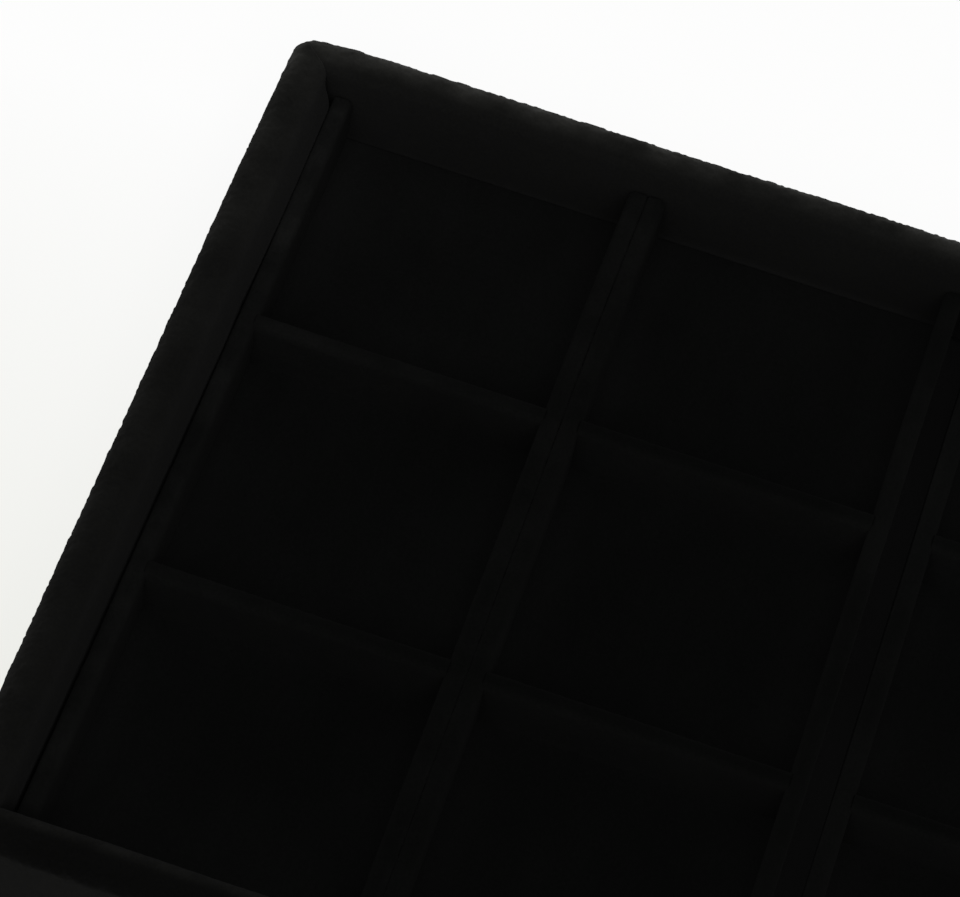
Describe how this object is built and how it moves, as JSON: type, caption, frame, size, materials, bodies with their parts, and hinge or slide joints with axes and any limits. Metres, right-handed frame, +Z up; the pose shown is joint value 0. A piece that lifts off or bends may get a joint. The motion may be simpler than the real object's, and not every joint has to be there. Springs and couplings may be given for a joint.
{
  "type": "jewelry tray",
  "caption": "Shallow rectangular velvet-covered display tray; lift-out grid inserts split it into open square compartments for rings, chains and earrings.",
  "frame": {"origin": "middle of the underside, where the felt rests on a table", "axes": "+X along the long side to the right, +Y away from the viewer to the far side, +Z up"},
  "size_m": [0.35, 0.24, 0.03],
  "materials": {
    "rim_velvet": "black short-pile velvet drawn over the walls",
    "grid_velvet": "black short-pile velvet over thin strips",
    "floor_velvet": "black short-pile velvet laid flat",
    "felt": "black needled felt",
    "wall_board": "bare medium density fibreboard",
    "base_board": "bare hardboard",
    "greyboard": "grey recycled card",
    "steel": "bright wire brads"
  },
  "bodies": {
    "tray": {"far_wall_board": "wall_board", "far_wall_velvet": "rim_velvet", "near_wall_board": "wall_board", "near_wall_velvet": "rim_velvet", "left_wall_board": "wall_board", "left_wall_velvet": "rim_velvet", "right_wall_board": "wall_board", "right_wall_velvet": "rim_velvet", "base_board": "base_board", "floor_velvet": "floor_velvet", "underside_felt": "felt", "corner_brads": "steel", "base_brads": "steel"},
    "left_insert": {"left_insert_card": "greyboard", "left_insert_floor_velvet": "floor_velvet", "left_insert_rail_1_board": "greyboard", "left_insert_rail_1_velvet": "grid_velvet", "left_insert_rail_2_board": "greyboard", "left_insert_rail_2_velvet": "grid_velvet", "left_insert_rail_3_board": "greyboard", "left_insert_rail_3_velvet": "grid_velvet", "left_insert_rail_4_board": "greyboard", "left_insert_rail_4_velvet": "grid_velvet", "left_insert_divider_1_board": "greyboard", "left_insert_divider_1_velvet": "grid_velvet", "left_insert_divider_2_board": "greyboard", "left_insert_divider_2_velvet": "grid_velvet", "left_insert_divider_3_board": "greyboard", "left_insert_divider_3_velvet": "grid_velvet", "left_insert_divider_4_board": "greyboard", "left_insert_divider_4_velvet": "grid_velvet"},
    "right_insert": {"right_insert_card": "greyboard", "right_insert_floor_velvet": "floor_velvet", "right_insert_rail_1_board": "greyboard", "right_insert_rail_1_velvet": "grid_velvet", "right_insert_rail_2_board": "greyboard", "right_insert_rail_2_velvet": "grid_velvet", "right_insert_rail_3_board": "greyboard", "right_insert_rail_3_velvet": "grid_velvet", "right_insert_rail_4_board": "greyboard", "right_insert_rail_4_velvet": "grid_velvet", "right_insert_divider_1_board": "greyboard", "right_insert_divider_1_velvet": "grid_velvet", "right_insert_divider_2_board": "greyboard", "right_insert_divider_2_velvet": "grid_velvet", "right_insert_divider_3_board": "greyboard", "right_insert_divider_3_velvet": "grid_velvet", "right_insert_divider_4_board": "greyboard", "right_insert_divider_4_velvet": "grid_velvet"}
  },
  "joints": [
    {"name": "left_insert_lift", "type": "slide", "parent": "tray", "child": "left_insert", "axis": [0, 0, 1], "range_m": [0, 0.04]},
    {"name": "right_insert_lift", "type": "slide", "parent": "tray", "child": "right_insert", "axis": [0, 0, 1], "range_m": [0, 0.04]}
  ]
}
